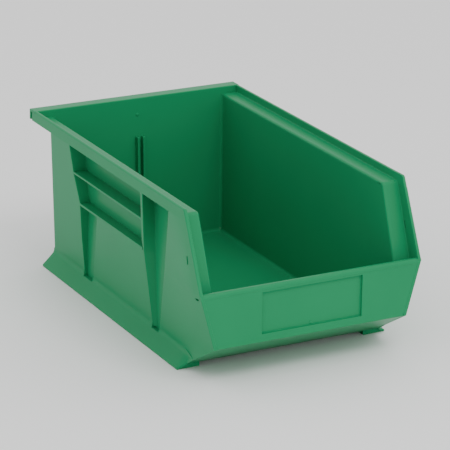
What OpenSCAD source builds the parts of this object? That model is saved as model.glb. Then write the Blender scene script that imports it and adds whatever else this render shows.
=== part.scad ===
// Stackable hopper-front storage bin, injection moulded.
// One real moulding, split here into its named regions, which meet face to face.
// Millimetres, +Z up, front at -Y. Origin at the centre of the base.

/* [Overall] */
// Length from the front face to the hanging lip
length = 346; // [300:1:400]
// Width across the two rim bands
width = 209.6; // [180:0.1:240]
// Height from the feet to the rim
height = 148.5; // [120:0.5:180]

/* [Tub] */
// Wall thickness
wall = 2.5; // [2:0.1:4]
// Height of the floor's underside above the ground
floor_z = 4.2; // [3:0.1:8]
// Floor thickness
floor_t = 2.4; // [2:0.1:4]
// Half width of the tub outside, at the floor
tub_low = 87.5; // [80:0.1:95]
// Half width of the tub outside, under the ledge
tub_high = 89.5; // [82:0.1:97]
// Distance from the front face to the back wall, at the floor
back_low = 329.5; // [300:0.5:340]
// Distance from the front face to the back wall, at the rim
back_high = 333.5; // [300:0.5:342]

/* [Rim and ledge] */
// Height of the upright band at the sides
band_h = 10; // [6:0.5:16]
// Thickness of the upright band
band_t = 3; // [2:0.1:4]
// Height of the stacking ledge below the rim
ledge_drop = 6.7; // [4:0.1:10]
// Thickness of the hanging lip and its hook
lip_t = 2.5; // [2:0.1:4]
// Distance from the front face to the end of the bands
band_end = 340.4; // [330:0.1:344]

/* [Front opening] */
// Height of the nose, where the sloped edges end
nose_z = 82; // [60:0.5:110]
// Distance from the front face to the top of the sloped edges
slope_top = 31; // [15:0.5:60]
// Height where the upright front ends and the chin starts
chin_z = 33.9; // [20:0.1:50]
// Half width of the front at the chin
chin_w = 91.8; // [85:0.1:100]
// Distance from the front face to the end of the chin
chin_y = 49.5; // [30:0.5:70]
// Height of the front rim's top
front_rim_z = 83.5; // [70:0.1:110]
// Depth of the rounded front rim
front_rim_d = 5; // [3:0.1:8]
// Half width of the label recess
label_w = 47.8; // [30:0.1:60]
// Lower edge of the label recess
label_z = 40.5; // [36:0.1:60]

/* [Side panels] */
// Inward run of the panels for each unit of height
panel_slope = 0.1263; // [0.05:0.001:0.2]
// Front of the upright grip post, from the front face
post_y = 119.5; // [90:0.1:150]
// Front of the grip post where it meets the band
post_top = 109.2; // [80:0.1:150]
// Thickness of the grip post
post_t = 4.2; // [2:0.1:6]
// Rear edge of the recess at the band
recess_back = 257.4; // [220:0.1:280]
// Rear edge of the recess at the lower rib, its narrowest part
recess_mid = 250.3; // [220:0.1:280]
// Rear edge of the recess at the skirt
recess_low = 260.4; // [220:0.1:280]
// Rear edge of the rear panel at the band
gusset_back = 298.5; // [280:0.5:320]
// Height of the upper grip rib
rib_high = 112.7; // [100:0.1:125]
// Height of the lower grip rib
rib_low = 84.1; // [70:0.1:100]
// Thickness of the ribs
rib_t = 2.2; // [1.5:0.1:4]

/* [Feet] */
// Height where the skirt leaves the side
skirt_z = 13; // [8:0.5:20]
// Half width across the skirts
skirt_w = 101.1; // [95:0.1:103]
// Front of the feet, from the front face
foot_front = 50.3; // [40:0.1:70]
// Rear of the feet, from the front face
foot_back = 328.6; // [300:0.1:335]
// Inner side of the feet
foot_in = 79.5; // [60:0.5:85]

/* [Hidden] */
half_w = width / 2;
band_z = height - band_h;
ledge_z = height - ledge_drop;
floor_top = floor_z + floor_t;
flange_in = half_w - band_t;
lip_root = length - lip_t;
hook_t = 2.2;
green = [0.13, 0.55, 0.35];
$fn = 24;

// Half widths of the tub at a height
function tub_out(z) = tub_low + (z - floor_z) * (tub_high - tub_low) / (band_z - floor_z);
function tub_in(z) = tub_out(z) - wall;
// Half width of the side panels at a height
function panel_x(z) = half_w - panel_slope * (band_z - z);
// Inner face of the back wall at a height
function back_in(z) = back_low + (z - floor_top) * (back_high - back_low) / (height - floor_top);
// Sloped front edge and the sloped ledge behind it, at a height
function edge_y(z) = slope_top * (z - nose_z) / (height - nose_z);
ledge_run = 0.3785;
function slope_y(z) = 16.3 + (z - 83.1) * ledge_run;
slope_run = wall * 1.07;
// Height where the sloped ledge runs into the chin's inner surface
ledge_foot = 46.6;
fold_y = slope_y(ledge_z) + slope_run;
// Half width of the front face at a height
function front_x(z) = chin_w + (z - chin_z) * (half_w - chin_w) / (nose_z - chin_z);
// Chin's inner surface is parallel to its outer one
chin_slope = (chin_z - floor_z) / chin_y;
chin_lift = wall * sqrt(1 + chin_slope * chin_slope);
floor_y = (chin_z + chin_lift - floor_top) / chin_slope;
// Rear edge of the recess and rear edge of the middle panel, at a height
rib_top_low = rib_low + rib_t / 2;
rib_foot_high = rib_high - rib_t / 2;
recess_z = [skirt_z, 50, rib_top_low, rib_foot_high, band_z];
recess_at = [recess_low, recess_low - 3.8, recess_mid, recess_back - 1.4, recess_back];
function recess_y(z) = lookup(z, [for (i = [0 : 4]) [recess_z[i], recess_at[i]]]);
function recess_line(d) = [for (z = recess_z) [recess_y(z) + d, z]];
function recess_line_down(d) = [for (i = [4 : -1 : 0]) [recess_at[i] + d, recess_z[i]]];
function leg_y(z) = 215.6 + (nose_z - z) * 0.395;
// Front of the grip post, upright up to the lower rib and then leaning forward
function post_front(z) = lookup(z, [[rib_top_low, post_y], [band_z, post_top]]);
// Front edge of the front leg, in two straight runs
leg_top = 59.4;
leg_knee = 70.3;
leg_foot = 107.3;
knee_z = 109;
// Top of the label recess
label_top = 78;
// Depth of the front rim below its top
rim_drop = 3.5;
// Divider ribs: inner and outer half width, depth and top
divider_in = 1.7;
divider_out = 3.9;
divider_d = 5;
divider_top = 112;
// Skirt: height of its square edge, steps of its inner face, lean of its front end
skirt_edge = 1.6;
skirt_step = 0.6;
skirt_meet = 10.8;
skirt_lean = 7.7;
function skirt_in(z) = skirt_w - wall
  - (z - skirt_step) * (skirt_w - wall - tub_out(skirt_meet)) / (skirt_meet - skirt_step);
// Window-clip slots: centre in Y and Z, size along them, and turn
upper_slot = [24.3, 106.8];
upper_size = [2.6, 7.4];
upper_turn = -12;
lower_slot = [7.8, 78.1];
lower_size = [6.4, 2];
lower_turn = -8;

module place() { translate([0, -length / 2, 0]) children(); }
module side(s) { place() mirror([s < 0 ? 1 : 0, 0, 0]) color(green) children(); }
// Outline in Y and Z, carried along X
module yz(x0, x1) {
  translate([x0, 0, 0]) rotate([90, 0, 90]) linear_extrude(x1 - x0) children();
}
module xy(z0, z1) { translate([0, 0, z0]) linear_extrude(z1 - z0) children(); }
// Outline in X and Z, carried along Y
module xz(y0, y1) {
  translate([0, y1, 0]) rotate([90, 0, 0]) linear_extrude(y1 - y0) children();
}

// Space between the tub and the panels
module web_zone() {
  xz(0, length) polygon([[tub_out(skirt_z), skirt_z], [panel_x(skirt_z), skirt_z],
    [panel_x(band_z), band_z], [tub_out(band_z), band_z]]);
}
module web(points) { intersection() { web_zone(); yz(80, 110) polygon(points); } }
// Outer skin on the panel plane, clear of the tub
module skin(points) {
  difference() {
    intersection() {
      xz(0, length) polygon([[panel_x(skirt_z) - wall, skirt_z], [panel_x(skirt_z), skirt_z],
        [panel_x(band_z), band_z], [panel_x(band_z) - wall, band_z]]);
      yz(80, 110) polygon(points);
    }
    tub_core();
  }
}
module tub_core() {
  xz(-10, length + 10) polygon([[0, 0], [tub_out(0), 0], [tub_out(band_z), band_z], [0, band_z]]);
}

// Twisted skin between the nose and the front leg
module front_skin() {
  outer = [
    [half_w, slope_y(band_z) + slope_run, band_z],
    [half_w, leg_top, band_z],
    [panel_x(knee_z), leg_knee, knee_z],
    [panel_x(skirt_z), leg_foot, skirt_z],
    [panel_x(skirt_z), foot_front + skirt_lean, skirt_z],
    [skirt_w, foot_front, skirt_edge],
    [93.5, 46.5, 6],
    [chin_w, 0, chin_z],
    [half_w, 0, nose_z],
    [half_w, slope_y(nose_z) + slope_run, nose_z]];
  n = len(outer);
  inner = [for (p = outer) [p[0] - wall, p[1], p[2]]];
  tris = [[0, 1, 2], [0, 2, 9], [9, 2, 3], [9, 3, 4], [9, 4, 7], [9, 7, 8], [7, 4, 6], [6, 4, 5]];
  difference() {
    polyhedron(points = concat(outer, inner), faces = concat(
      [for (t = tris) [t[0], t[2], t[1]]],
      [for (t = tris) [t[0] + n, t[1] + n, t[2] + n]],
      [for (i = [0 : n - 1]) [i, (i + 1) % n, (i + 1) % n + n, i + n]]), convexity = 6);
    tub_core();
  }
}
// Block that ends on the inner face of the skin beside the chin
function chin_x(y, z) = chin_w - wall - 0.178 * y - 0.3576 * (z - chin_z);
module chin_block() {
  pts = [for (x = [-1, 1], y = [-5, 60], z = [0, 45]) [x * chin_x(y, z), y, z]];
  polyhedron(points = pts, faces = [[0, 1, 3, 2], [4, 6, 7, 5], [0, 4, 5, 1], [2, 3, 7, 6],
    [0, 2, 6, 4], [1, 5, 7, 3]]);
}

module floor_panel() {
  place() color(green) translate([-tub_low, floor_y, floor_z])
    cube([2 * tub_low, back_low + wall - floor_y, floor_t]);
}
module chin() {
  place() color(green) intersection() {
    yz(-half_w, half_w) polygon([[0, chin_z], [chin_y, floor_z], [floor_y, floor_z],
      [floor_y, floor_top], [wall, chin_z + chin_lift - wall * chin_slope]]);
    chin_block();
  }
}
module front_wall() {
  low = front_x(chin_z) - wall;
  high = front_x(front_rim_z) - wall;
  place() color(green) difference() {
    intersection() {
      yz(-half_w, half_w) polygon([[0, chin_z], [wall, chin_z + chin_lift - wall * chin_slope],
        [wall, front_rim_z - rim_drop], [0, front_rim_z - rim_drop]]);
      xz(-1, wall + 1) polygon([[-low, chin_z], [low, chin_z], [high, front_rim_z],
        [-high, front_rim_z]]);
    }
    translate([-label_w, -1, label_z]) cube([2 * label_w, wall + 2, label_top - label_z]);
  }
}
module label_panel() {
  place() color(green) union() {
    translate([-label_w - wall, wall, label_z - wall])
      cube([2 * (label_w + wall), 2.3, front_rim_z - rim_drop - label_z + wall - 0.01]);
    translate([-label_w, wall - 0.2, label_z]) cube([2 * label_w, 1.2, label_top - label_z]);
  }
}
module front_rim() {
  end = front_x(front_rim_z - rim_drop) - wall;
  place() color(green) yz(-end, end) union() {
    translate([0, front_rim_z - rim_drop]) square([front_rim_d, 0.5]);
    translate([3, front_rim_z - 3]) square([front_rim_d - 3, 2]);
    translate([3, front_rim_z - 1]) square([front_rim_d - 4, 1]);
    intersection() {
      translate([3, front_rim_z - 3]) circle(r = 3, $fn = 64);
      translate([0, front_rim_z - 3]) square([3, 3]);
    }
    intersection() {
      translate([front_rim_d - 1, front_rim_z - 1]) circle(r = 1, $fn = 32);
      translate([front_rim_d - 1, front_rim_z - 1]) square([1, 1]);
    }
  }
}

// Back wall, wider above the ledges
module back_solid() {
  intersection() {
    yz(-half_w, half_w) polygon([[back_in(floor_top), floor_top], [back_in(height), height],
      [back_in(height) + wall, height], [back_in(floor_top) + wall, floor_top]]);
    xz(0, length) polygon([[-tub_out(floor_top), floor_top], [tub_out(floor_top), floor_top],
      [tub_out(band_z), band_z], [flange_in, band_z], [flange_in, height], [-flange_in, height],
      [-flange_in, band_z], [-tub_out(band_z), band_z]]);
  }
}
module back_wall() { place() color(green) back_solid(); }
// Everything in front of the rear face of the back wall
module back_room() {
  yz(-half_w - 1, half_w + 1) polygon([[back_high - 9, height + 1], [back_high - 9, height - 9],
    [back_in(height - 9) + wall, height - 9], [back_in(height + 1) + wall, height + 1]]);
}
module lip_flange() {
  place() color(green) difference() {
    xy(height - lip_t, height) polygon([[-flange_in, back_high - 1], [flange_in, back_high - 1],
      [flange_in, band_end], [half_w, band_end], [half_w, lip_root], [-half_w, lip_root],
      [-half_w, band_end], [-flange_in, band_end]]);
    back_room();
  }
}
module lip_hook() {
  place() color(green) yz(-half_w, half_w) polygon([[length - hook_t, band_z + 0.1],
    [length, band_z + 0.1], [length, height], [lip_root, height], [lip_root, height - lip_t],
    [length - hook_t, height - lip_t]]);
}
module divider_rib(s) {
  side(s) yz(divider_in, divider_out) polygon([[back_in(floor_top) - divider_d, floor_top],
    [back_in(floor_top), floor_top], [back_in(divider_top), divider_top],
    [back_in(divider_top) - divider_d, divider_top]]);
}

module side_wall(s) {
  side(s) intersection() {
    xz(0, length) polygon([[tub_in(floor_top), floor_top], [tub_out(floor_top), floor_top],
      [tub_out(band_z), band_z], [tub_in(band_z), band_z]]);
    yz(70, 110) polygon([[wall, chin_z + chin_lift - wall * chin_slope],
      [floor_y, floor_top], [back_in(floor_top), floor_top], [back_in(band_z), band_z],
      [slope_y(band_z) + slope_run, band_z], [wall, ledge_foot - slope_run / ledge_run]]);
  }
}
module ledge(s) {
  side(s) difference() {
    xz(fold_y, back_high) polygon([[tub_in(band_z), band_z], [flange_in, band_z],
      [flange_in, ledge_z], [tub_in(ledge_z), ledge_z]]);
    back_solid();
  }
}
module rim_band(s) {
  side(s) yz(flange_in, half_w) polygon([[fold_y, band_z], [band_end, band_z],
    [band_end, height], [fold_y, height]]);
}
module front_ledge(s) {
  side(s) intersection() {
    yz(70, 110) polygon([[slope_y(ledge_z), ledge_z], [fold_y, ledge_z], [fold_y, band_z],
      [slope_y(band_z) + slope_run, band_z], [wall, ledge_foot - slope_run / ledge_run],
      [wall, ledge_foot]]);
    xz(0, length) polygon([[tub_in(35), 35], [front_x(35) - wall, 35],
      [front_x(nose_z - 2) - wall, nose_z - 2], [flange_in, nose_z], [flange_in, ledge_z],
      [tub_in(ledge_z), ledge_z]]);
  }
}
// Slot for a window clip, through the flange
module clip_slot(at, size, turn) {
  translate([90, at[0], at[1]]) rotate([turn, 0, 0])
    translate([0, -size[0] / 2, -size[1] / 2]) cube([20, size[0], size[1]]);
}
module front_flange(s) {
  side(s) difference() {
    yz(flange_in, half_w) polygon([[edge_y(height), height], [fold_y, height], [fold_y, band_z],
      [slope_y(band_z) + slope_run, band_z], [slope_y(nose_z) + slope_run, nose_z],
      [0, nose_z]]);
    clip_slot(upper_slot, upper_size, upper_turn);
  }
}
module front_gusset(s) {
  side(s) difference() {
    front_skin();
    clip_slot(lower_slot, lower_size, lower_turn);
  }
}
// End wall of the front leg, behind the twisted skin
module leg_wall(s) {
  side(s) intersection() {
    xz(0, length) polygon([[tub_out(24), 24], [panel_x(24) - wall, 24],
      [panel_x(band_z) - wall, band_z], [tub_out(band_z), band_z]]);
    yz(80, 110) polygon([[leg_top - rib_t, band_z], [leg_top, band_z], [leg_knee, knee_z],
      [leg_foot, skirt_z], [leg_foot - rib_t, skirt_z], [leg_knee - rib_t, knee_z]]);
  }
}
module grip_post(s) {
  side(s) web([[post_y, skirt_z], [post_y + post_t, skirt_z], [post_y + post_t, rib_top_low],
    [post_top + post_t, band_z], [post_top, band_z], [post_y, rib_top_low]]);
}
module grip_rib(s, z) {
  a = z - rib_t / 2;
  b = z + rib_t / 2;
  side(s) web([[post_front(a) + post_t, a], [recess_y(a), a], [recess_y(b), b],
    [post_front(b) + post_t, b]]);
}
module mid_panel(s) {
  top = rib_low - rib_t / 2;
  side(s) union() {
    skin([[post_y + post_t, skirt_z], [leg_y(skirt_z), skirt_z], [leg_y(top), top],
      [post_y + post_t, top]]);
    web([[leg_y(skirt_z) - rib_t, skirt_z], [leg_y(skirt_z), skirt_z], [leg_y(top), top],
      [leg_y(top) - rib_t, top]]);
  }
}
module rear_gusset(s) {
  side(s) union() {
    skin(concat([[328, skirt_z], [gusset_back, band_z]], recess_line_down(0)));
    web(concat(recess_line(0), recess_line_down(rib_t)));
  }
}
// Flared skirt, its inner face parallel to its outer one
module skirt(s) {
  side(s) intersection() {
    xz(0, length) polygon([[tub_out(skirt_z), skirt_z], [panel_x(skirt_z), skirt_z],
      [skirt_w, skirt_edge], [skirt_w, 0], [skirt_w - wall, 0], [skirt_w - wall, skirt_step],
      [tub_out(skirt_meet), skirt_meet]]);
    yz(80, 110) polygon([[foot_front, 0], [foot_back, 0], [foot_back, skirt_z],
      [foot_front + skirt_lean, skirt_z], [foot_front, skirt_edge]]);
  }
}
// Foot: an inner rail closed at both ends, open below
module runner(s) {
  side(s) union() {
    translate([foot_in, foot_front, 0]) cube([wall, foot_back - foot_front, floor_z]);
    xz(foot_front, foot_front + wall) polygon([[foot_in, 0], [skirt_w - wall, 0],
      [skirt_w - wall, skirt_step], [skirt_in(floor_z), floor_z], [foot_in, floor_z]]);
    xz(foot_back - wall, foot_back) polygon([[foot_in, 0], [skirt_w - wall, 0],
      [skirt_w - wall, skirt_step], [tub_out(skirt_meet), skirt_meet],
      [tub_out(floor_top), floor_top],
      [tub_low, floor_top], [tub_low, floor_z], [foot_in, floor_z]]);
  }
}

module divider_rib_l() { divider_rib(-1); }
module divider_rib_r() { divider_rib(1); }
module side_wall_l() { side_wall(-1); }
module side_wall_r() { side_wall(1); }
module ledge_l() { ledge(-1); }
module ledge_r() { ledge(1); }
module rim_band_l() { rim_band(-1); }
module rim_band_r() { rim_band(1); }
module front_ledge_l() { front_ledge(-1); }
module front_ledge_r() { front_ledge(1); }
module front_flange_l() { front_flange(-1); }
module front_flange_r() { front_flange(1); }
module front_gusset_l() { front_gusset(-1); }
module front_gusset_r() { front_gusset(1); }
module leg_wall_l() { leg_wall(-1); }
module leg_wall_r() { leg_wall(1); }
module grip_post_l() { grip_post(-1); }
module grip_post_r() { grip_post(1); }
module grip_rib_upper_l() { grip_rib(-1, rib_high); }
module grip_rib_upper_r() { grip_rib(1, rib_high); }
module grip_rib_lower_l() { grip_rib(-1, rib_low); }
module grip_rib_lower_r() { grip_rib(1, rib_low); }
module mid_panel_l() { mid_panel(-1); }
module mid_panel_r() { mid_panel(1); }
module rear_gusset_l() { rear_gusset(-1); }
module rear_gusset_r() { rear_gusset(1); }
module skirt_l() { skirt(-1); }
module skirt_r() { skirt(1); }
module runner_l() { runner(-1); }
module runner_r() { runner(1); }

floor_panel();
chin();
front_wall();
label_panel();
front_rim();
back_wall();
lip_flange();
lip_hook();
divider_rib_l();
divider_rib_r();
side_wall_l();
side_wall_r();
ledge_l();
ledge_r();
rim_band_l();
rim_band_r();
front_ledge_l();
front_ledge_r();
front_flange_l();
front_flange_r();
front_gusset_l();
front_gusset_r();
leg_wall_l();
leg_wall_r();
grip_post_l();
grip_post_r();
grip_rib_upper_l();
grip_rib_upper_r();
grip_rib_lower_l();
grip_rib_lower_r();
mid_panel_l();
mid_panel_r();
rear_gusset_l();
rear_gusset_r();
skirt_l();
skirt_r();
runner_l();
runner_r();
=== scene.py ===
import math
import bpy
import bmesh
from mathutils import Vector, Matrix


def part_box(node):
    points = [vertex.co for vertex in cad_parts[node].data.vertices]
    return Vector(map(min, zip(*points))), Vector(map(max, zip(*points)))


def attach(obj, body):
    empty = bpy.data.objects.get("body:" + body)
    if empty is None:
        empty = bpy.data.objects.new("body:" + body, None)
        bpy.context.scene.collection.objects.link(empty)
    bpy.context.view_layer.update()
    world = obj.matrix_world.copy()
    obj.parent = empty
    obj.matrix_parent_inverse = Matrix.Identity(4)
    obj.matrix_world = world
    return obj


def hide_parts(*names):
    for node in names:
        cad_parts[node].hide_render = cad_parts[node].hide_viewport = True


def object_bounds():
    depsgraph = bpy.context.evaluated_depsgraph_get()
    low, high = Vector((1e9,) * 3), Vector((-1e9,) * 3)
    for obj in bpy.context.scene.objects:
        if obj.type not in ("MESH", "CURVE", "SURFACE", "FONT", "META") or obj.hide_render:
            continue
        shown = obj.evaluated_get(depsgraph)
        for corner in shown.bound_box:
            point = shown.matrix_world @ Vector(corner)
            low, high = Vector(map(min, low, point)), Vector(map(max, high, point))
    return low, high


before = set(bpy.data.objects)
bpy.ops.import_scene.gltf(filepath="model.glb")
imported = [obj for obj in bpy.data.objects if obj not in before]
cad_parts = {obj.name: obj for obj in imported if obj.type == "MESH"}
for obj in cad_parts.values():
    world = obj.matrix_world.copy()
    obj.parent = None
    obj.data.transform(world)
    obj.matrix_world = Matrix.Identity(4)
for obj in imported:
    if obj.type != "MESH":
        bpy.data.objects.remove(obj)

cad_lo, cad_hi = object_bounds()

# ---------------------------------------------------------------- dimensions All
# in millimetres: y from the front face, z from the ground, x from the middle.
HALF = (cad_hi.x - cad_lo.x) * 500.0
LEN = (cad_hi.y - cad_lo.y) * 1000.0
TOP = cad_hi.z * 1000.0
FRONT = cad_lo.y * 1000.0
WALL = 2.5
RIB = 2.2                           # thickness of the grip ribs and of the webs beside the legs
EDGE_R = 0.6                        # rounding of the side panels' outer edges
FILLET = 0.35                       # fillet where a web meets a leg floor

# rim: a band outside, a ledge inside, both folding down towards the front
BAND_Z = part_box("rim_band_r")[0].z * 1000.0
BAND_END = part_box("rim_band_r")[1].y * 1000.0 - FRONT
FLANGE_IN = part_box("rim_band_r")[0].x * 1000.0
LEDGE_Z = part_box("ledge_r")[1].z * 1000.0
FOLD_Y = 48.0                       # the rim starts to fold here
SLOPE_TOP = 31.0                    # upper end of the leaning front edge
SLOPE = 0.3785                      # y gained for each millimetre of height
SLOPE_RUN = 1.0692                  # length along it for the same millimetre
LEDGE_FRONT = (16.3, 83.1)          # a point in y and z on the ledge's leaning front run
LEDGE_R = 2.2                       # rounded inner edge of the ledge

# tub
FLOOR_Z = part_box("floor_panel")[0].z * 1000.0
FLOOR_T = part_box("floor_panel")[1].z * 1000.0
FLOOR_R = 2.9                       # fillet round the floor and up the back corners
TUB_LOW = 87.5                      # half width outside, at the floor
TUB_FLARE = 2.0                     # and what it gains up to the band
BACK_LOW = 329.5                    # inner face of the back wall, at the floor
BACK_LEAN = 4.0                     # and what it gains up to the top

# front
RIM_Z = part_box("front_rim")[1].z * 1000.0
RIM_D = 5.0                         # depth of the front rim
FACE_Y = 0.25                       # the front wall sits just behind the rim
NOSE_Z = 82.0                       # where the sides reach furthest forward
CHIN_Z = 33.9                       # bend between the front wall and the chin
CHIN_W = 91.8                       # half width there
CHIN_FLARE, CHIN_DROP = 1.7, 27.9   # the chin widens by the first over the second
CHIN_Y = 49.5                       # where it reaches the floor's underside
CHIN_S = (CHIN_Z - FLOOR_Z) / CHIN_Y
CHIN_LIFT = WALL * math.sqrt(1 + CHIN_S * CHIN_S)       # its thickness, measured upright
FLOOR_Y = (CHIN_Z + CHIN_LIFT - FLOOR_T) / CHIN_S       # where the floor begins inside
LABEL_X, LABEL_LOW, LABEL_HIGH = 47.8, 40.5, 78.0       # label recess: half width and heights
LABEL_DEPTH = 1.85

# side panels, with the two legs and the grip between them
PANEL_LEAN = 0.1263                 # half width lost for each millimetre down
RIB_LOW = 84.1                      # middle of the lower grip rib
RIB_HIGH = 112.7                    # and of the upper one
POST_T = 4.2                        # thickness of the post beside the grip
POST_LOW, POST_HIGH = 119.5, 109.2  # front face of the post, at the lower rib and at the band
POST_IN = 116.6                     # its leg side
REAR_LEG, REAR_LEG_LEAN = 215.6, 0.395          # its front edge at NOSE_Z, and lean downwards
LEG_TOP, LEG_KNEE, LEG_LOW = 59.4, 70.3, 107.3  # front leg's front edge, from the band down
KNEE_Z = 109.0                      # height of its knee
POCKET, POCKET_Z, POCKET_RUN = 1.3, 64.0, 44.0  # depth, upper end and taper of the leg pockets
REAR_END_LOW, REAR_END_HIGH = 328.0, 298.5      # rear edge of the rear panel

# skirt and feet
SKIRT_Z = 13.0
SKIRT_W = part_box("skirt_r")[1].x * 1000.0
SKIRT_LIP = 1.6                     # height of the skirt's upright edge
SKIRT_RUN = SKIRT_Z - SKIRT_LIP
SKIRT_MEET = 10.8                   # the skirt's underside meets the tub here
FOOT_F = 50.3                       # front end of the feet
FOOT_B = 328.6                      # back end
FOOT_IN = 79.5                      # inner side
CORNER_Y = 58.0                     # the skirt turns under the chin from here


def tub_out(z):
    """Half width of the tub outside, at a height."""
    return TUB_LOW + (z - FLOOR_Z) * TUB_FLARE / (BAND_Z - FLOOR_Z)


def tub_in(z):
    """Half width of the tub inside."""
    return tub_out(z) - WALL


def back_in(z):
    """Inner face of the back wall, in y."""
    return BACK_LOW + (z - FLOOR_T) * BACK_LEAN / (TOP - FLOOR_T)


def panel_x(z):
    """Half width over the side panels, which lean in towards the skirt."""
    return HALF - PANEL_LEAN * (BAND_Z - z)


def edge_y(z):
    """Front edge of the flange above the nose, in y."""
    return SLOPE_TOP * (z - NOSE_Z) / (TOP - NOSE_Z)


def slope_y(z):
    """The ledge's leaning front run, in y."""
    return LEDGE_FRONT[0] + (z - LEDGE_FRONT[1]) * SLOPE


def front_x(z):
    """Half width over the front, between the chin and the nose."""
    return CHIN_W + (z - CHIN_Z) * (HALF - CHIN_W) / (NOSE_Z - CHIN_Z)


def chin_x(z):
    """Half width over the chin."""
    return CHIN_W + CHIN_FLARE * (CHIN_Z - z) / CHIN_DROP


def chin_y(z):
    """Front face of the chin, in y."""
    return (CHIN_Z - z) / CHIN_S


def lookup(z, table):
    """Value at z on straight runs between the pairs of the table."""
    for (z0, y0), (z1, y1) in zip(table, table[1:]):
        if z <= z1 or (z1, y1) == table[-1]:
            return y0 + (y1 - y0) * min(1.0, max(0.0, (z - z0) / (z1 - z0)))


def recess_y(z):
    """Rear end of the grip and of the rear leg, in y."""
    return lookup(z, [(SKIRT_Z, 260.4), (50, 256.6), (RIB_LOW + RIB / 2, 250.3),
                      (RIB_HIGH - RIB / 2, 256.0), (BAND_Z, 257.4)])


def leg_y(z):
    """Front edge of the rear leg, in y."""
    return REAR_LEG + (NOSE_Z - z) * REAR_LEG_LEAN


def post_front(z):
    """Front face of the post, in y."""
    return lookup(z, [(RIB_LOW + RIB / 2, POST_LOW), (BAND_Z, POST_HIGH)])


def leg_floor(z):
    """Floor of the two legs: the tub wall, pocketed a little near the foot."""
    return tub_out(z) - POCKET * min(1.0, max(0.0, (POCKET_Z - z) / POCKET_RUN))


def leg_edge(z):
    """Front edge of the front leg, two straight runs with a soft knee."""
    if z >= KNEE_Z:
        return LEG_TOP + (BAND_Z - z) * (LEG_KNEE - LEG_TOP) / (BAND_Z - KNEE_Z)
    return LEG_KNEE + (KNEE_Z - z) * (LEG_LOW - LEG_KNEE) / (KNEE_Z - SKIRT_Z)


# ---------------------------------------------------------------- mesh tools
PIECES = []


def turn(a):
    """Cosine and sine of an angle in degrees."""
    return math.cos(math.radians(a)), math.sin(math.radians(a))


def metres(points, side):
    """Points of a piece in the frame; side -1 is the mirror image."""
    return [((x * side) / 1000.0, (y + FRONT) / 1000.0, z / 1000.0) for x, y, z in points]


def make(name, verts, faces, nodes, side=1, smooth=40.0):
    """Closed mesh that stands for CAD nodes; edges sharper than smooth degrees stay sharp."""
    me = bpy.data.meshes.new(name + "_mesh")
    me.from_pydata(metres(verts, side), [], faces)
    bm = bmesh.new()
    bm.from_mesh(me)
    bmesh.ops.remove_doubles(bm, verts=bm.verts, dist=2e-6)
    bmesh.ops.dissolve_degenerate(bm, dist=2e-6, edges=bm.edges)
    bmesh.ops.recalc_face_normals(bm, faces=bm.faces)
    bm.to_mesh(me)
    bm.free()
    me.shade_smooth()
    me.set_sharp_from_angle(angle=math.radians(smooth))
    ob = bpy.data.objects.new(name + "_shape", me)
    bpy.context.scene.collection.objects.link(ob)
    even = ob.modifiers.new("weighted", "WEIGHTED_NORMAL")
    even.keep_sharp = True
    even.weight = 80
    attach(ob, "root")
    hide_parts(*nodes)
    PIECES.append(ob)
    return ob


def slot_outline(at, half, tilt):
    """Round-ended slot in y and z round the point at, turned by tilt degrees."""
    r = min(half)
    straight = max(half) - r
    e, w = turn(tilt)
    out = []
    for a in range(0, 360, 30):
        c, d = turn(a)
        y, z = r * c, r * d
        if half[0] > half[1]:
            y += straight * ((c > 0.01) - (c < -0.01))
        else:
            z += straight * ((d > 0.01) - (d < -0.01))
        out.append((at[0] + y * e - z * w, at[1] + y * w + z * e))
    return out


def slot_cut(ob, side, at, half, tilt):
    """Cut a slot right through the flange: centre, half sizes and tilt in y and z."""
    inside, outside = 96.0, HALF + 2.0
    v, f = loft([[(x, y, z) for y, z in slot_outline(at, half, tilt)] for x in (inside, outside)])
    me = bpy.data.meshes.new("cutter")
    me.from_pydata(metres(v, side), [], f)
    bm = bmesh.new()
    bm.from_mesh(me)
    bmesh.ops.recalc_face_normals(bm, faces=bm.faces)
    bm.to_mesh(me)
    bm.free()
    cutter = bpy.data.objects.new("cutter", me)
    bpy.context.scene.collection.objects.link(cutter)
    even = ob.modifiers["weighted"]
    even.show_viewport = False
    cut = ob.modifiers.new("cut", "BOOLEAN")
    cut.operation = "DIFFERENCE"
    cut.solver = "EXACT"
    cut.object = cutter
    bpy.context.view_layer.update()
    old = ob.data
    new = bpy.data.meshes.new_from_object(ob.evaluated_get(bpy.context.evaluated_depsgraph_get()))
    ob.modifiers.remove(cut)
    ob.data = new
    even.show_viewport = True
    bpy.data.objects.remove(cutter, do_unlink=True)
    bpy.data.meshes.remove(me)
    bpy.data.meshes.remove(old)
    new.set_sharp_from_angle(angle=math.radians(35.0))


def loft(rings):
    """Faces through closed rings of equal length, with end caps."""
    n = len(rings[0])
    verts = [p for r in rings for p in r]
    faces = []
    for k in range(len(rings) - 1):
        a, b = k * n, (k + 1) * n
        for i in range(n):
            j = (i + 1) % n
            faces.append((a + i, a + j, b + j, b + i))
    faces.append(tuple(range(n)))
    faces.append(tuple((len(rings) - 1) * n + i for i in range(n)))
    return verts, faces


def rounded(pts, radii, seg=4):
    """Closed 2D outline with each corner rounded by its own radius."""
    out = []
    n = len(pts)
    for i in range(n):
        r = radii[i]
        p = Vector(pts[i])
        if r <= 0:
            out.append((p.x, p.y))
            continue
        a = (Vector(pts[i - 1]) - p).normalized()
        b = (Vector(pts[(i + 1) % n]) - p).normalized()
        ang = a.angle(b)
        t = r / math.tan(ang / 2)
        c = p + (a + b).normalized() * (r / math.sin(ang / 2))
        s = p + a * t - c
        e = p + b * t - c
        sweep = math.pi - ang
        way = 1 if s.x * e.y - s.y * e.x > 0 else -1
        for k in range(seg + 1):
            w = way * sweep * k / seg
            out.append((c.x + s.x * math.cos(w) - s.y * math.sin(w),
                        c.y + s.x * math.sin(w) + s.y * math.cos(w)))
    return out


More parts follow.
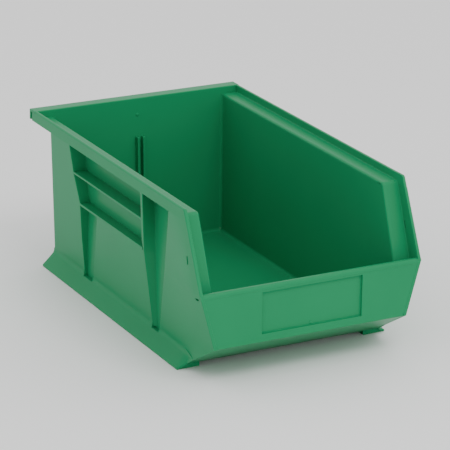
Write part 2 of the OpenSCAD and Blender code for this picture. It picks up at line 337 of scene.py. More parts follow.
def area2(pts):
    """Twice the area of an outline, negative when it runs clockwise."""
    return sum(pts[i - 1][0] * pts[i][1] - pts[i][0] * pts[i - 1][1] for i in range(len(pts)))


def inset(pts, dist):
    """Outline moved inwards, each edge by its own distance (edge i leaves point i)."""
    n = len(pts)
    way = 1 if area2(pts) > 0 else -1
    lines = []
    for i in range(n):
        p, q = Vector(pts[i]), Vector(pts[(i + 1) % n])
        d = (q - p).normalized()
        inward = Vector((-d.y, d.x)) * way
        lines.append((p + inward * dist[i], d, inward))
    out = []
    for i in range(n):
        (p, d, m), (q, e, k) = lines[i - 1], lines[i]
        det = d.x * e.y - d.y * e.x
        if abs(det) < 0.02:
            v = Vector(pts[i])
            w = 0.5 * (dist[i - 1] + dist[i])
            out.append(tuple(v + (m + k).normalized() * w))
        else:
            t = ((q.x - p.x) * e.y - (q.y - p.y) * e.x) / det
            out.append(tuple(p + d * t))
    return out


def plate(pts, outer, inner, r, flags=None, seg=3):
    """Solid between two surfaces over an outline.  Flagged edges of the outer rim
    are rounded by r; a negative r makes a hollow fillet that stands up round it."""
    flags = flags or [1] * len(pts)

    def below(uv, depth):
        top = Vector(outer(*uv))
        return tuple(top + (Vector(inner(*uv)) - top).normalized() * depth)

    rows = [[tuple(Vector(inner(*uv))) for uv in pts]]
    if r > 0:
        for k in range(seg + 1):
            a = math.pi / 2 * k / seg
            ring = inset(pts, [r * (1 - math.cos(a)) * f for f in flags])
            rows.append([below(uv, r * (1 - math.sin(a))) for uv in ring])
    else:
        for k in range(seg + 1):
            a = math.pi / 2 * (1 - k / seg)
            ring = inset(pts, [-r * (1 - math.sin(a)) * f for f in flags])
            rows.append([below(uv, r * (1 - math.cos(a))) for uv in ring])
    return loft(rows)


def on_panel(y, z):
    """Point on the outer face of the side panels."""
    return (panel_x(z), y, z)


def behind_panel(y, z):
    """Point a little inside the tub wall, behind the panel."""
    return (leg_floor(z) - 0.3, y, z)


def bar_x(profile, limit, r=0.0, seg=3):
    """YZ outline carried across the bin to x = +-limit(y, z), ends rounded by r."""
    ends = []
    for k in (range(seg + 1) if r > 0 else [seg]):
        a = math.pi / 2 * k / seg
        w = r * (1 - math.sin(a)) if r > 0 else 0.0
        ends.append((inset(profile, [w] * len(profile)), r * (1 - math.cos(a))))
    rows = []
    for pts, d in ends:
        rows.append([(-limit(*p) + d, p[0], p[1]) for p in pts])
    for pts, d in reversed(ends):
        rows.append([(limit(*p) - d, p[0], p[1]) for p in pts])
    return loft(rows)


def bar_y(profile, y0, y1):
    """XZ outline carried along the bin from y0 to y1."""
    return loft([[(x, y0, z) for x, z in profile], [(x, y1, z) for x, z in profile]])


def level(pts, z):
    """XY points placed at one height."""
    return [(x, y, z) for x, y in pts]


def arc(c, r, a0, a1, n):
    """Points on an arc in n steps; angles in degrees."""
    out = []
    for k in range(n + 1):
        p, q = turn(a0 + (a1 - a0) * k / n)
        out.append((c[0] + r * p, c[1] + r * q))
    return out


def button(x, z, rings):
    """Small round boss facing the front, from pairs of radius and y."""
    rows = []
    for r, y in rings:
        rows.append([(p, y, q) for p, q in arc((x, z), r, 0, 337.5, 15)])
    return loft(rows)


def hollow(floor, web, way, r, angles):
    """Fillet between a leg floor at x and a web at y, on the web's side given by way."""
    out = []
    for a in angles:
        c, d = turn(a)
        out.append((floor + r * (1 - d) - 0.03, web + way * r * (1 - c)))
    return out


# ---------------------------------------------------------------- the rim
def rim_fold():
    """Rim sections where it turns down: (top, ledge, lower) points in y and z."""
    steps = 10
    top_end = (edge_y(BAND_Z), BAND_Z)
    ledge_end = (slope_y(BAND_Z), BAND_Z)
    top = rounded([(FOLD_Y, TOP), (SLOPE_TOP, TOP), top_end], [0, 3.0, 0], steps)[1:-1]
    led = rounded([(FOLD_Y, LEDGE_Z), (slope_y(LEDGE_Z), LEDGE_Z), ledge_end], [0, 4.0, 0], steps)[1:-1]
    sections = [((FOLD_Y, TOP), (FOLD_Y, LEDGE_Z), (FOLD_Y, BAND_Z))]
    for k in range(steps + 1):
        # the lower point slides forward under the fold
        sections.append((top[k], led[k], (47.0 - 5.0 * k / steps, BAND_Z)))
    sections.append((top_end, ledge_end, (41.5, BAND_Z)))
    return sections


def rim_sections(back):
    """Rim sections from the given y at the back to the end of the fold."""
    straight = [((y, TOP), (y, LEDGE_Z), (y, BAND_Z)) for y in [back, *range(300, 59, -40)]]
    return straight + rim_fold()


def rim_band(side, tag):
    """Outer band of the rim; its back end lies under the lip."""
    out_r, in_r, below_ledge = 1.5, 0.8, 1.5
    back = back_in(TOP) + 1.2
    rings = []
    for t, l, o in rim_sections(back):
        t, l, o = Vector(t), Vector(l), Vector(o)
        up = (t - l).normalized()
        # outer face up to the rounded top, over it and down the inner face
        ring = [(HALF, *o)]
        for x, d in arc((HALF - out_r, 0), out_r, 0, 90, 5):
            ring.append((x, *(t - up * (out_r - d))))
        for x, d in arc((FLANGE_IN + in_r, 0), in_r, 90, 180, 4):
            ring.append((x, *(t - up * (in_r - d))))
        ring.append((FLANGE_IN, *(l - up * below_ledge)))
        ring.append((FLANGE_IN, *o))
        rings.append(ring)
    low = TOP - 2.5
    for y in (back + 0.02, BAND_END):
        rings.insert(0, [(p[0], y, min(p[2], low)) for p in rings[0]])
    v, f = loft(rings)
    make("rim_band_" + tag, v, f, ["rim_band_" + tag], side)


def ledge_point(t, l, h):
    """Point h above the ledge line, on the section that leans through the fold."""
    t, l = Vector(t), Vector(l)
    up = (t - l).normalized()
    return l + up * h * (1.0 + (SLOPE_RUN - 1.0) * abs(up.x))


def ledge_profile(xo, xi):
    """Small fillet at the flange, flat ledge, rounded inner edge, then into the wall."""
    pts = arc((xo - 0.7, 0.7), 0.7, 0, -90, 3) + [(xo - 2.5, 0.0), (xi + 4.0, 0.0)]
    pts += arc((xi + LEDGE_R, -LEDGE_R), LEDGE_R, 90, 180, 6)
    return pts + [(xi + 0.6, -2.6), (xi + 0.6, -3.2), (xo, -3.2)]


def ledge(side, tag):
    """Ledge that carries the next bin, and its leaning run down to the front."""
    rings = []
    for t, l, _ in rim_sections(back_in(LEDGE_Z)):
        rings.append([(x, *ledge_point(t, l, h)) for x, h in ledge_profile(FLANGE_IN, tub_in(LEDGE_Z))])
    v, f = loft(rings)
    make("ledge_" + tag, v, f, ["ledge_" + tag], side)
    rings = []
    for z in [BAND_Z, *range(130, 45, -12)]:
        xo = FLANGE_IN if z >= NOSE_Z else min(FLANGE_IN, front_x(z) - WALL)
        xi = tub_in(LEDGE_Z) if z == BAND_Z else tub_in(z)
        rings.append([(x, slope_y(z) - h * SLOPE_RUN, z) for x, h in ledge_profile(xo, xi)])
    v, f = loft(rings)
    make("front_ledge_" + tag, v, f, ["front_ledge_" + tag], side)


# ---------------------------------------------------------------- front gusset with its flange
def gusset_guide(z):
    """Outer surface at a height: points in x and y at the front edge, the bend and the leg."""
    behind = 2.7                    # the bend lies this far behind the ledge
    leg = Vector((panel_x(z), leg_edge(z)))
    if z >= NOSE_Z:
        return Vector((HALF, edge_y(z))), Vector((HALF, slope_y(z) + behind)), leg
    bend = Vector((HALF, slope_y(NOSE_Z) + behind))
    bend = bend.lerp(Vector((panel_x(SKIRT_Z), CORNER_Y)), (NOSE_Z - z) / (NOSE_Z - SKIRT_Z))
    if z >= CHIN_Z:
        return Vector((front_x(z), 0.0)), bend, leg
    return Vector((chin_x(z), chin_y(z))), bend, leg


def gusset_curve(z):
    """Points on the outer surface, soft where it bends."""
    front, bend, leg = gusset_guide(z)
    a, b = front.lerp(bend, 0.5), bend.lerp(leg, 0.4)
    pts = [front.lerp(bend, 0.12), front.lerp(bend, 0.3), a]
    for k in range(1, 6):
        u = k / 6
        pts.append(a.lerp(bend, u).lerp(bend.lerp(b, u), u))
    return pts + [b, bend.lerp(leg, 0.6), bend.lerp(leg, 0.8), bend.lerp(leg, 0.95)]


def gusset_ring(z):
    """Section: flange edge, outer surface, web beside the leg, and the inside."""
    front, _, leg = gusset_guide(z)
    floor = leg_floor(z)
    skin = max(leg.x - WALL, tub_out(z))
    flange = FLANGE_IN if z >= NOSE_Z else front.x - (HALF - FLANGE_IN)
    flange_end = slope_y(z) + 3.4 if z >= 46.0 else front.y + 4.0
    out_r, in_r = (1.1, 0.7) if z > NOSE_Z + 1 else (0.6, 0.3)
    pts = arc((flange + in_r, front.y + in_r), in_r, 180, 270, 3)
    pts += arc((front.x - out_r, front.y + out_r), out_r, -90, 0, 4)
    pts += [tuple(q) for q in gusset_curve(z)]
    pts += arc((leg.x - EDGE_R, leg.y - EDGE_R), EDGE_R, 0, 90, 3)
    r = max(0.05, min(FILLET, (leg.x - EDGE_R - floor) * 0.4))
    pts += hollow(floor, leg.y, 1, r, (0, 30, 60, 86))
    pts += [(floor - 0.4, leg.y + r), (floor - 0.4, leg.y - RIB)]
    pts += [(max(floor, skin) - 0.1, leg.y - RIB)]
    pts += [(min(flange - 0.2, max(skin, floor)), max(flange_end + 1.0, front.y + 6.0))]
    pts += [(flange, max(flange_end, front.y + 5.0))]
    return level(pts, z)


def front_gusset(side, tag):
    """Front side panel with its flange and the web beside the leg, and two clip slots."""
    heights = [BAND_Z, 132.0, 124.0, 116.0, KNEE_Z, 100.0, 92.0, 86.0, NOSE_Z, 78.0,
               *range(72, 39, -8), CHIN_Z, 29.0, 24.0, 18.0, SKIRT_Z]
    v, f = loft([gusset_ring(z) for z in heights])
    ob = make("front_gusset_" + tag, v, f,
              ["front_gusset_" + tag, "front_flange_" + tag, "leg_wall_" + tag], side, smooth=35.0)
    slot_cut(ob, side, (24.3, 106.8), (1.3, 3.7), -12.0)
    slot_cut(ob, side, (7.8, 78.1), (3.2, 1.0), -8.0)


# ---------------------------------------------------------------- side walls, panels and ribs
PANEL_HEIGHTS = [SKIRT_Z, 30.0, 50.0, 68.0, RIB_LOW + RIB / 2, 98.0, RIB_HIGH - RIB / 2, 125.0, BAND_Z]
PANEL_TOP = RIB_LOW - RIB / 2 + 0.05          # the middle panel ends inside the lower rib


def side_wall(side, tag):
    """Tub wall between the fillets of the floor, the back and the ledge."""
    under = 2.1                     # it ends this far below the top of the ledge
    low, top = FLOOR_T + FLOOR_R, LEDGE_Z - under
    edge = [(low, FLOOR_Y), (CHIN_Z + 0.1, 2.6)]
    edge += [(z, slope_y(z) + under * SLOPE_RUN) for z in (46.0, 60.0, 100.0)]
    fold = [ledge_point(t, l, -under) for t, l, _ in reversed(rim_fold())]
    fold = [(p.y, p.x) for p in fold if p.y < top - 0.05]
    edge += fold
    heights = {low, 13.0, 20.0, 27.0, CHIN_Z + 0.1, 40.0, 46.0, 53.0, 60.0, 64.0, 80.0, 100.0, 115.0,
               130.0, top}
    rows = []
    for z in sorted(heights.union(z for z, _ in fold)):
        front = lookup(z, edge) if z <= edge[-1][0] else FOLD_Y - 0.5
        back = back_in(z) - FLOOR_R
        rows.append(level([(tub_in(z), front), (tub_in(z), back), (leg_floor(z), back),
                           (leg_floor(z), front)], z))
    v, f = loft(rows)
    make("side_wall_" + tag, v, f, ["side_wall_" + tag], side)


def rear_gusset(side, tag):
    """Rear side panel, a skin with both upright edges rounded."""
    end_r = 0.5
    rows = []
    for z in PANEL_HEIGHTS:
        x, y = panel_x(z), recess_y(z)
        end = REAR_END_LOW + (REAR_END_HIGH - REAR_END_LOW) * (z - SKIRT_Z) / (BAND_Z - SKIRT_Z)
        inside = max(x - WALL, leg_floor(z))
        pts = arc((x - EDGE_R, y + EDGE_R), EDGE_R, -90, 0, 3)
        pts += [(x, y + (end - y) * u) for u in (0.1, 0.3, 0.5, 0.7, 0.9)]
        pts += arc((x - end_r, end - end_r), end_r, 0, 90, 3)
        pts += [(inside, end), (inside, y)]
        rows.append(level(pts, z))
    v, f = loft(rows)
    make("rear_gusset_" + tag, v, f, ["rear_gusset_" + tag], side)


def recess_wall(side, tag):
    """End web of the grip and the rear leg, behind the edge of the rear gusset."""
    rows = []
    for z in PANEL_HEIGHTS:
        y, floor, edge = recess_y(z), leg_floor(z), panel_x(z) - EDGE_R - 0.02
        pts = [(edge, y + RIB), (edge, y + 0.01)]
        pts += hollow(floor, y + 0.01, -1, FILLET, (0, 22, 45, 68, 87))
        pts += [(floor - 0.4, y - FILLET), (floor - 0.4, y + RIB)]
        rows.append(level(pts, z))
    v, f = loft(rows)
    make("recess_wall_" + tag, v, f, [], side)


def mid_panel(side, tag):
    """Panel between the legs; its edge at the rear leg is rounded."""
    front = POST_LOW + 1.2
    out = [(front, SKIRT_Z), (leg_y(SKIRT_Z), SKIRT_Z), (leg_y(PANEL_TOP), PANEL_TOP), (front, PANEL_TOP)]
    v, f = plate(out, on_panel, behind_panel, EDGE_R, [0, 1, 0, 0])
    make("mid_panel_" + tag, v, f, ["mid_panel_" + tag], side)


def grip_post(side, tag):
    """Post in front of the grip; below the grip it is only the edge of the middle panel."""
    rows = []
    for z in (SKIRT_Z, 24.0, 35.0, 50.0, 65.0, 80.0, PANEL_TOP, 92.0, 100.0, 110.0, 118.0, 126.0, 133.0,
              BAND_Z):
        x, floor, front = panel_x(z), leg_floor(z), post_front(z)
        back, back_r = (front + POST_T, EDGE_R) if z > PANEL_TOP else (front + 1.6, 0.05)
        front_r = min(EDGE_R, (x - floor) * 0.4)
        pts = arc((x - front_r, front + front_r), front_r, -90, 0, 3)
        pts += arc((x - back_r, back - back_r), back_r, 0, 90, 2)
        pts += [(floor + 1.0, back + 0.4), (floor - 0.4, back + 0.4), (floor - 0.4, POST_IN - FILLET)]
        pts += hollow(floor, POST_IN, -1, FILLET, (87, 68, 45, 22, 0))
        rows.append(level(pts, z))
    v, f = loft(rows)
    make("grip_post_" + tag, v, f, ["grip_post_" + tag], side, smooth=35.0)


def grip_ribs(side, tag):
    """Two ribs across the grip; the lower one is the turned-in top of the middle panel."""
    for which, middle, rounding in (("upper", RIB_HIGH, [1, 0, 1, 0]), ("lower", RIB_LOW, [0, 0, 1, 0])):
        low, high = middle - RIB / 2, middle + RIB / 2
        front = post_front(middle) + POST_T - 0.8
        out = [(front, low), (recess_y(low) + 0.3, low), (recess_y(high) + 0.3, high), (front, high)]
        v, f = plate(out, on_panel, behind_panel, EDGE_R, rounding)
        name = "grip_rib_%s_%s" % (which, tag)
        make(name, v, f, [name], side)


# ---------------------------------------------------------------- skirt and feet
SKIRT_CURVE = [(q.y, q.x) for q in [gusset_guide(SKIRT_Z)[0]] + gusset_curve(SKIRT_Z)]


def skirt_top(y):
    """Half width at the top of the skirt, where it meets the side panels."""
    return max(panel_x(SKIRT_Z), lookup(y, SKIRT_CURVE) if y < SKIRT_CURVE[-1][0] else 0.0)


def skirt_section(y, soft):
    """Outline in x and z: from the tub over the fold, down to the foot and back inside."""
    x = skirt_top(y) + 0.02
    fold, knee = Vector((x, SKIRT_Z)), Vector((x + 2.6, SKIRT_Z - 2.44))
    shares = (0, 0.2, 0.4, 0.6, 0.8, 1.0)
    if soft:
        high = 16.6
        start = Vector((x + panel_x(high) - panel_x(SKIRT_Z), high))
        pts = [start.lerp(fold, u).lerp(fold.lerp(knee, u), u) for u in shares]
    else:
        high = 11.7
        start = Vector((x + (SKIRT_Z - high) * 1.066, high))
        pts = [start.lerp(knee, u) for u in shares]
    pts = [(leg_floor(high) - 0.5, high)] + [tuple(q) for q in pts]
    pts += [(SKIRT_W - 0.7, 2.35)] + arc((SKIRT_W - 0.9, 1.2), 0.9, 50, 0, 3)
    pts += [(SKIRT_W, 0.35), (SKIRT_W - 0.35, 0.0), (SKIRT_W - WALL, 0.0), (SKIRT_W - WALL, 0.6)]
    return pts + [(leg_floor(SKIRT_MEET) - 0.3, SKIRT_MEET)]


def leg_stations(back, front):
    """Skirt sections round a leg: square under it and soft on both sides."""
    return [(back + 0.4, True), (back, False), (front, False), (front - 0.4, True)]


def skirt(side, tag):
    """Flared skirt, with a front end that closes on the corner of the chin."""
    stations = [(FOOT_B, True), *leg_stations(recess_y(SKIRT_Z), leg_y(SKIRT_Z)), (180.0, True)]
    stations += leg_stations(POST_LOW, leg_edge(SKIRT_Z))
    stations += [(y, True) for y in (98.0, 90.0, 82.0, 75.0, 68.0)]
    rows = []
    for y, soft in stations:
        rows.append([(x, y, z) for x, z in skirt_section(y, soft)])

    # at the corner the section leans forward to the foot
    corner = []
    for x, z in skirt_section(CORNER_Y, True):
        up = min(1.0, max(0.0, (z - SKIRT_LIP) / SKIRT_RUN))
        corner.append((x, FOOT_F + (CORNER_Y - FOOT_F) * up, z))
    rows.append(corner)

    foot_tip = Vector((SKIRT_W, FOOT_F, SKIRT_LIP))
    chin_low = CHIN_Z - CHIN_DROP
    chin_tip = Vector((chin_x(chin_low), chin_y(chin_low), chin_low))
    front_y, front_half = SKIRT_CURVE[0]
    front_tip = Vector((front_half, front_y, SKIRT_Z))
    corner_top = Vector((skirt_top(CORNER_Y), CORNER_Y, SKIRT_Z))
    at_chin = 0.6                   # share of the way at which the lower edge is at the chin
    for t in (0.2, 0.4, at_chin, 0.8, 0.97):
        y = CORNER_Y + (front_y - CORNER_Y) * t
        top = Vector((skirt_top(y), y, SKIRT_Z))
        if t <= at_chin:
            low = foot_tip.lerp(chin_tip, t / at_chin)
        else:
            low = chin_tip.lerp(front_tip, (t - at_chin) / (1.0 - at_chin))
        ring = []
        for p in corner:
            down = min(1.0, max(0.0, (SKIRT_Z - p[2]) / SKIRT_RUN))
            over = Vector(p) - corner_top.lerp(foot_tip, down)
            ring.append(tuple(top.lerp(low, down) + over * (1.0 - t)))
        rows.append(ring)
    v, f = loft(rows)
    make("skirt_" + tag, v, f, ["skirt_" + tag], side, smooth=40.0)


def runner(side, tag):
    """Foot: inner rail, closed at both ends and open below."""
    rail = [(FOOT_IN, 0), (FOOT_IN + WALL, 0), (FOOT_IN + WALL, FLOOR_Z), (FOOT_IN, FLOOR_Z)]
    v, f = bar_y(rounded(rail, [0.5, 0.5, 0, 0], 3), FOOT_F + 0.3, FOOT_B - 0.3)
    base = [(FOOT_IN, 0), (SKIRT_W - 0.5, 0), (SKIRT_W - 0.5, 1.4)]
    over_floor = FLOOR_Z + 2.2
    front_top = [(94.9, over_floor)]
    back_top = [(tub_out(11.5) + 0.3, 11.5), (tub_out(11.5) - 2.4, 11.5),
                (tub_out(FLOOR_Z) - 3.4, over_floor)]
    for y0, y1, top in ((FOOT_F, FOOT_F + WALL, front_top), (FOOT_B - WALL, FOOT_B - 0.25, back_top)):
        end = base + top + [(FOOT_IN, FLOOR_Z)]
        radii = [0.5, 0.2, 0.2] + [0] * (len(end) - 3)
        end_v, end_f = bar_y(rounded(end, radii, 3), y0, y1)
        f += [tuple(i + len(v) for i in q) for q in end_f]
        v += end_v
    make("runner_" + tag, v, f, ["runner_" + tag], side, smooth=50.0)


# ---------------------------------------------------------------- front
def front_wall():
    """Front wall with the label recess in it: rounded edge, side, fillet and floor."""
    low, high = CHIN_Z + 2.0, RIM_Z - 3.5
    v, f = [], []

    def face(*pts):
        f.append(tuple(range(len(v), len(v) + len(pts))))
        v.extend(pts)

    def bridge(a, b):
        for i in range(4):
            face(a[i - 1], a[i], b[i], b[i - 1])

    def wall_ring(y):
        x0, x1 = front_x(low) - WALL, front_x(high) - WALL
        return [(-x0, y, low), (x0, y, low), (x1, y, high), (-x1, y, high)]

    def label_ring(inwards, depth):
        x, y = LABEL_X - inwards, FACE_Y + depth
        z0, z1 = LABEL_LOW + inwards, LABEL_HIGH - inwards
        return [(-x, y, z0), (x, y, z0), (x, y, z1), (-x, y, z1)]

    r = 0.3
    steps = [(0, 0)]
    for a in (30, 60, 90):
        c, d = turn(a)
        steps.append((r * d, r * (1 - c)))
    steps.append((r + 0.02, LABEL_DEPTH))
    for a in (30, 60, 90):
        c, d = turn(a)
        steps.append((r + 0.02 + r * (1 - c), LABEL_DEPTH + r * d))
    front, back = wall_ring(FACE_Y), wall_ring(WALL)
    rings = [front] + [label_ring(*step) for step in steps]
    for a, b in zip(rings, rings[1:]):
        bridge(a, b)
    face(*rings[-1])
    face(*back)
    bridge(front, back)
    make("front_wall", v, f, ["front_wall"], 1)


def label_panel():
    """Backing of the label recess, and the small gate mark on the recess floor."""
    x, low, high = LABEL_X + WALL, LABEL_LOW - WALL, LABEL_HIGH + 1.9
    out = rounded([(-x, low), (x, low), (x, high), (-x, high)], [1, 1, 1, 1], 3)
    v, f = plate(out, lambda x, z: (x, 4.8, z), lambda x, z: (x, WALL, z), 0.8)
    make("label_panel", v, f, ["label_panel"], 1)
    v, f = button(0.0, 42.9, [(1.5, 2.35), (1.5, 2.05), (1.2, 1.85), (0.5, 1.8)])
    make("gate_mark", v, f, [], 1)


def front_rim():
    """Rounded bar along the top of the front."""
    half = min(FLANGE_IN + 0.15, front_x(RIM_Z - 3.5) - WALL)
    prof = [(RIM_D, RIM_Z - 3.9)]
    prof += arc((RIM_D - 0.9, RIM_Z - 0.9), 0.9, 0, 90, 4)
    prof += arc((2.4, RIM_Z - 2.4), 2.4, 90, 180, 7)
    prof += arc((0.6, RIM_Z - 3.6), 0.6, 180, 240, 3)
    v, f = bar_x(prof, lambda y, z: half)
    make("front_rim", v, f, ["front_rim"], 1)


def chin_half(y, z):
    """Half width of the chin sheet; below the skirt's top it reaches the outer edge."""
    edge = chin_x(z)
    if z < SKIRT_Z - 0.05 and 30.0 < y <= CHIN_Y + 0.5:
        return edge - 0.15
    skin = CHIN_W - WALL - 0.178 * y - 0.3576 * (z - CHIN_Z)
    return min(skin, edge - WALL + 0.4, 90.6)


def chin():
    """Slanted sheet with a soft bend into the front."""
    above, below = SKIRT_Z + 0.02, SKIRT_Z - 0.1
    prof = [(FACE_Y, CHIN_Z + 2.0), (FACE_Y, CHIN_Z + 0.1), (chin_y(above), above),
            (chin_y(below), below), (CHIN_Y, FLOOR_Z), (FLOOR_Y + 2.0, FLOOR_Z),
            (FLOOR_Y + 2.0, FLOOR_T), (FLOOR_Y, FLOOR_T), (WALL, CHIN_Z + CHIN_LIFT - WALL * CHIN_S),
            (WALL, CHIN_Z + 2.0)]
    v, f = bar_x(rounded(prof, [0, 1.6, 0, 0, 1.5, 0, 0, 4.0, 0.3, 0], 5), chin_half)
    make("chin", v, f, ["chin"], 1, smooth=35.0)


# ---------------------------------------------------------------- floor, back, lip
def floor_panel():
    """Floor with a hollow fillet up to the sides and the back."""
    half, back = tub_in(FLOOR_T + FLOOR_R), back_in(FLOOR_T + FLOOR_R)
    out = [(-half, FLOOR_Y + 2.0), (half, FLOOR_Y + 2.0), (half, back), (-half, back)]
    out = rounded(out, [0, 0, 3.0, 3.0], 5)
    flags = [0] + [1] * (len(out) - 1)
    v, f = plate(out, lambda x, y: (x, y, FLOOR_T), lambda x, y: (x, y, FLOOR_Z), -FLOOR_R, flags, seg=5)
    make("floor_panel", v, f, ["floor_panel"], 1, smooth=50.0)


def back_wall():
    """Back wall up to the ledges, with hollow fillets at both sides and round corners outside."""
    r, out_r = FLOOR_R, 5.5
    rows = []
    for z in (FLOOR_T + FLOOR_R, 30.0, 60.0, 90.0, 115.0, LEDGE_Z - 0.6):
        x, y = tub_in(z), back_in(z)
        pts = arc((r - x, y - r), r, 180, 90, 5) + arc((x - r, y - r), r, 90, 0, 5)
        x, y = tub_out(z) - out_r, y + WALL - out_r
        pts += arc((x, y), out_r, 0, 90, 3) + arc((-x, y), out_r, 90, 180, 3)
        rows.append(level(pts, z))
    v, f = loft(rows)
    make("back_wall", v, f, ["back_wall"], 1, smooth=35.0)


def back_strips():
    """Strip between the ledges, flush with the back wall, and the footing under it."""
    low, high = LEDGE_Z - 0.6, TOP - 2.4
    prof = [(back_in(low), low), (back_in(high), high), (back_in(high) + WALL, high),
            (back_in(low) + WALL, low)]
    v, f = bar_x(prof, lambda y, z: FLANGE_IN)
    make("back_top", v, f, [], 1)
    high = FLOOR_T + FLOOR_R
    prof = [(back_in(high) + 0.05, high), (back_in(high) + WALL, high),
            (back_in(FLOOR_Z) + WALL, FLOOR_Z), (back_in(FLOOR_Z), FLOOR_Z)]
    v, f = bar_x(prof, lambda y, z: tub_out(z) - 5.0)
    make("back_foot", v, f, [], 1)


def hanging_lip():
    """Lip along the back with its hook, one rounded profile."""
    thick, hook, hook_z = 2.5, 2.2, BAND_Z + 0.1
    prof = [(back_in(TOP), TOP - thick), (back_in(TOP), TOP), (LEN, TOP), (LEN, hook_z),
            (LEN - hook, hook_z), (LEN - hook, TOP - thick)]
    v, f = bar_x(rounded(prof, [0, 1.0, 1.2, 0.6, 0.6, 0.8], 4), lambda y, z: HALF, 0.5)
    make("hanging_lip", v, f, ["lip_flange", "lip_hook"], 1)


def back_mark():
    """Small round mark above the divider ribs."""
    x, z = -1.8, 132.6
    y = back_in(z)
    v, f = button(x, z, [(1.6, y + 0.3), (1.6, y - 0.25), (1.3, y - 0.5), (0.6, y - 0.6)])
    make("back_mark", v, f, [], 1)


def divider_rib(side, tag):
    """One of the two upright ribs on the back wall that hold a divider."""
    near, far, low, high = 1.7, 3.9, FLOOR_T - 0.2, 112.0
    out = rounded([(near, low), (far, low), (far, high), (near, high)], [0, 0, 0.6, 0.6], 3)
    v, f = plate(out, lambda x, z: (x, back_in(z) - 5.0, z), lambda x, z: (x, back_in(z) + 0.3, z), 0.5)
    make("divider_rib_" + tag, v, f, ["divider_rib_" + tag], side)


SIDE_PARTS = (rim_band, ledge, front_gusset, side_wall, rear_gusset, recess_wall, mid_panel,
              grip_post, grip_ribs, skirt, runner)
for side, tag in ((-1, "l"), (1, "r")):
    for part in SIDE_PARTS:
        part(side, tag)
for part in (front_wall, label_panel, front_rim, chin):
    part()
for part in (floor_panel, back_wall, back_strips, hanging_lip, back_mark):
    part()
for side, tag in ((-1, "l"), (1, "r")):
    divider_rib(side, tag)


# ---------------------------------------------------------------- material
def plastic():
    """Smooth green polypropylene: faint flow clouds, varied gloss and a fine surface grain."""
    mat = bpy.data.materials.new("bin_green")
    mat.use_nodes = True
    nt = mat.node_tree
    nt.nodes.clear()
    new, link = nt.nodes.new, nt.links.new
    out = new("ShaderNodeOutputMaterial")
    shader = new("ShaderNodeBsdfPrincipled")
    link(shader.outputs[0], out.inputs[0])
    coord = new("ShaderNodeTexCoord")
    clouds = new("ShaderNodeTexNoise")
    clouds.inputs["Scale"].default_value = 14.0
    clouds.inputs["Detail"].default_value = 3.0
    link(coord.outputs["Object"], clouds.inputs["Vector"])
    tint = new("ShaderNodeMixRGB")
    tint.inputs[1].default_value = (0.013, 0.222, 0.086, 1)
    tint.inputs[2].default_value = (0.018, 0.256, 0.101, 1)
    link(clouds.outputs["Fac"], tint.inputs[0])
    link(tint.outputs[0], shader.inputs["Base Color"])
    gloss = new("ShaderNodeMapRange")
    gloss.inputs["To Min"].default_value = 0.26
    gloss.inputs["To Max"].default_value = 0.33
    link(clouds.outputs["Fac"], gloss.inputs["Value"])
    link(gloss.outputs[0], shader.inputs["Roughness"])
    grain = new("ShaderNodeTexNoise")
    grain.inputs["Scale"].default_value = 1500.0
    grain.inputs["Detail"].default_value = 2.0
    link(coord.outputs["Object"], grain.inputs["Vector"])
    bump = new("ShaderNodeBump")
    bump.inputs["Strength"].default_value = 0.06
    bump.inputs["Distance"].default_value = 0.0002
    link(grain.outputs["Fac"], bump.inputs["Height"])
    link(bump.outputs[0], shader.inputs["Normal"])
    shader.inputs["IOR"].default_value = 1.5
    shader.inputs["Specular IOR Level"].default_value = 0.08
    return mat


PLASTIC = plastic()
for ob in PIECES:
    ob.data.materials.clear()
    ob.data.materials.append(PLASTIC)


# ---------------------------------------------------------------- stage, light, camera
def pale_floor():
    """Plain matt ground, a little uneven in its roughness."""
    me = bpy.data.meshes.new("ground")
    me.from_pydata([(-4, -4, 0), (4, -4, 0), (4, 4, 0), (-4, 4, 0)], [], [(0, 1, 2, 3)])
    ground = bpy.data.objects.new("ground", me)
    bpy.context.scene.collection.objects.link(ground)
    mat = bpy.data.materials.new("pale_floor")
    mat.use_nodes = True
    nt = mat.node_tree
    shader = nt.nodes["Principled BSDF"]
    shader.inputs["Base Color"].default_value = (0.9, 0.9, 0.9, 1)
    noise = nt.nodes.new("ShaderNodeTexNoise")
    noise.inputs["Scale"].default_value = 60.0
    rough = nt.nodes.new("ShaderNodeMapRange")
    rough.inputs["To Min"].default_value = 0.85
    rough.inputs["To Max"].default_value = 0.95
    nt.links.new(noise.outputs["Fac"], rough.inputs["Value"])
    nt.links.new(rough.outputs[0], shader.inputs["Roughness"])
    me.materials.append(mat)


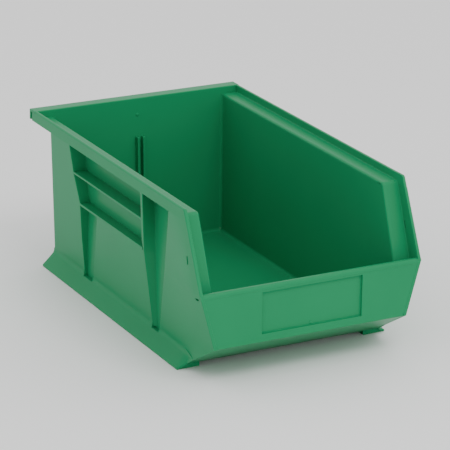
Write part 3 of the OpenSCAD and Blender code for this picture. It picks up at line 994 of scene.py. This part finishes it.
def studio():
    """White surroundings, slightly brighter towards +X."""
    world = bpy.data.worlds.new("studio")
    world.use_nodes = True
    nt = world.node_tree
    coord = nt.nodes.new("ShaderNodeTexCoord")
    split = nt.nodes.new("ShaderNodeSeparateXYZ")
    level = nt.nodes.new("ShaderNodeMapRange")
    level.inputs["From Min"].default_value = -1.0
    level.inputs["From Max"].default_value = 0.6
    level.inputs["To Min"].default_value = 1.08
    level.inputs["To Max"].default_value = 1.26
    nt.links.new(coord.outputs["Generated"], split.inputs[0])
    nt.links.new(split.outputs[0], level.inputs["Value"])
    nt.links.new(level.outputs[0], nt.nodes["Background"].inputs[1])
    nt.nodes["Background"].inputs[0].default_value = (1, 1, 1, 1)
    bpy.context.scene.world = world


def area(name, place, target, size, power):
    """Rectangular soft light aimed at the target; metres and watts."""
    data = bpy.data.lights.new(name, "AREA")
    data.shape = "RECTANGLE"
    data.size, data.size_y = size
    data.energy = power
    light = bpy.data.objects.new(name, data)
    light.location = place
    light.rotation_euler = (Vector(target) - Vector(place)).to_track_quat("-Z", "Y").to_euler()
    bpy.context.scene.collection.objects.link(light)


def camera(azimuth, elevation, roll, target, distance, lens):
    """Long lens aimed at the target; angles in degrees, lens in mm on a 36 mm sensor."""
    az, el, ro = math.radians(azimuth), math.radians(elevation), math.radians(roll)
    back = Vector((math.sin(az) * math.cos(el), -math.cos(az) * math.cos(el), math.sin(el)))
    ahead = -back
    right = ahead.cross(Vector((0, 0, 1))).normalized()
    up = right.cross(ahead)
    across = right * math.cos(ro) + up * math.sin(ro)
    upward = -right * math.sin(ro) + up * math.cos(ro)
    data = bpy.data.cameras.new("camera")
    data.sensor_fit = "HORIZONTAL"
    data.sensor_width = 36.0
    data.lens = lens
    data.clip_start = 0.05
    data.clip_end = 50.0
    cam = bpy.data.objects.new("camera", data)
    place = Matrix((across, upward, back)).transposed().to_4x4()
    place.translation = target + back * distance
    cam.matrix_world = place
    bpy.context.scene.collection.objects.link(cam)
    bpy.context.scene.camera = cam


pale_floor()
studio()
area("key", (0.1, -1.2, 1.6), (0, 0, 0.05), (0.8, 0.6), 10.5)
area("edge_light", (-1.0, 0.9, 1.3), (0, 0, 0.1), (0.3, 0.3), 0.15)
camera(-27.710, 19.346, 0.72, Vector((1.84, 162.04 + FRONT, 77.63)) / 1000.0, 2.26297, 205.5232)
